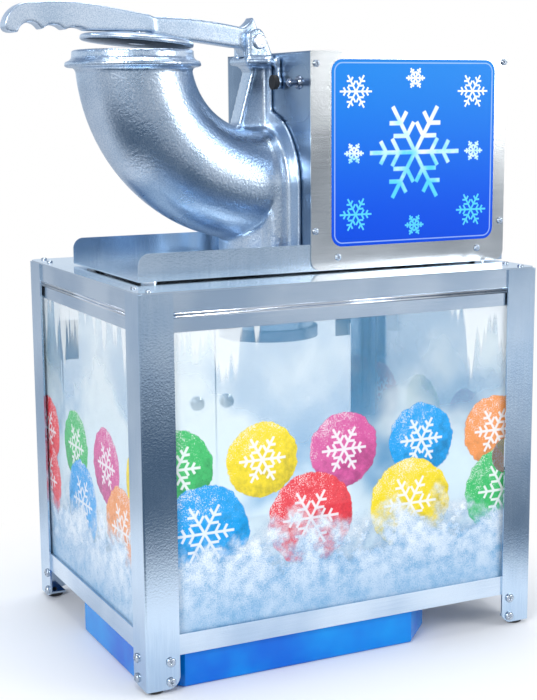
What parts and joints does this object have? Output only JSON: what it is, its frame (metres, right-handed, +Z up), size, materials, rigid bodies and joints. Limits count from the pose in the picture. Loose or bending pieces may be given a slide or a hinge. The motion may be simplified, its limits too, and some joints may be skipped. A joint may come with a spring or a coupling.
{
  "type": "electric tabletop ice shaver",
  "caption": "Tabletop ice shaver: glazed cabinet with rear doors, motor box, cast elbow hopper and a hinged hand lever with a cap.",
  "frame": {"origin": "middle of the whole machine's footprint, on the surface it stands on", "axes": "+Z up, front faces -Y, hopper at -X, motor box at +X"},
  "size_m": [0.5004, 0.3396, 0.6399],
  "materials": {
    "post_steel": "satin",
    "roof_steel": "mirror polish",
    "box_steel": "satin",
    "panel_steel": "bright brushed",
    "cast_aluminium": "hammered cast",
    "blue_plastic": "gloss",
    "clear_pane": "clear",
    "tray_steel": "satin",
    "black_rubber": "matt",
    "dark_plastic": "fine texture",
    "chrome_steel": "polished",
    "blade_steel": "ground",
    "motor_paint": "semi gloss",
    "white_plastic": "satin"
  },
  "bodies": {
    "machine": {"leg_front_left": "post_steel", "leg_front_right": "post_steel", "leg_rear_left": "post_steel", "leg_rear_right": "post_steel", "feet": "black_rubber", "top_rail_front": "post_steel", "bottom_rail_front": "post_steel", "top_rail_left": "post_steel", "bottom_rail_left": "post_steel", "top_rail_right": "post_steel", "bottom_rail_right": "post_steel", "top_rail_rear": "post_steel", "bottom_rail_rear": "post_steel", "glass_front": "clear_pane", "glass_left": "clear_pane", "glass_right": "clear_pane", "drip_tub": "blue_plastic", "hinge_leaves": "chrome_steel", "hinge_pins": "chrome_steel", "door_catch": "dark_plastic", "floor_tray": "tray_steel", "roof_plate": "roof_steel", "pan_washers": "dark_plastic", "chassis_pan": "post_steel", "motor_cover": "box_steel", "front_panel": "panel_steel", "rear_panel": "panel_steel", "switch_frame_and_body": "dark_plastic", "cord_gland": "dark_plastic", "head_casting": "cast_aluminium", "stop_pad": "black_rubber", "pivot_pin": "chrome_steel", "snow_chamber": "white_plastic", "shaft_seal": "black_rubber", "shaft_bearings": "chrome_steel", "motor_housing": "motor_paint", "motor_mount": "post_steel", "discharge_chute": "white_plastic", "chute_ring": "dark_plastic", "plunger_bushing": "chrome_steel", "interlock_switch": "dark_plastic"},
    "lever": {"lever": "cast_aluminium", "pusher_cap": "cast_aluminium", "cap_bolt": "chrome_steel"},
    "blade_rotor": {"blade_disc": "cast_aluminium", "blades": "blade_steel", "drive_shaft": "chrome_steel"},
    "door_leaf_left": {"door_left": "clear_pane", "door_knob_left": "dark_plastic", "door_leaves_left": "chrome_steel"},
    "door_leaf_right": {"door_right": "clear_pane", "door_knob_right": "dark_plastic", "door_leaves_right": "chrome_steel"},
    "plunger": {"interlock_plunger": "chrome_steel"},
    "rocker": {"rocker": "dark_plastic"}
  },
  "joints": [
    {"name": "lever_hinge", "type": "hinge", "parent": "machine", "child": "lever", "pos_m": [0.0072, -0.01475, 0.604], "axis": [0, 1, 0], "range_deg": [0, 100]},
    {"name": "blade_spin", "type": "hinge", "parent": "machine", "child": "blade_rotor", "pos_m": [0.0032, -0.01475, 0.461], "axis": [1, 0, 0], "continuous": true},
    {"name": "door_left_hinge", "type": "hinge", "parent": "machine", "child": "door_leaf_left", "pos_m": [-0.1464, 0.16035, 0.198], "axis": [0, 0, 1], "range_deg": [0, 110]},
    {"name": "door_right_hinge", "type": "hinge", "parent": "machine", "child": "door_leaf_right", "pos_m": [0.2158, 0.16035, 0.198], "axis": [0, 0, -1], "range_deg": [0, 110]},
    {"name": "plunger_slide", "type": "slide", "parent": "machine", "child": "plunger", "axis": [1, 0, 0], "range_m": [0, 0.004], "stiffness_N_per_m": 600, "springref_m": -0.002},
    {"name": "rocker_tilt", "type": "hinge", "parent": "machine", "child": "rocker", "pos_m": [0.2102, 0.07825, 0.548], "axis": [-1, 0, 0], "range_deg": [0, 18]}
  ]
}
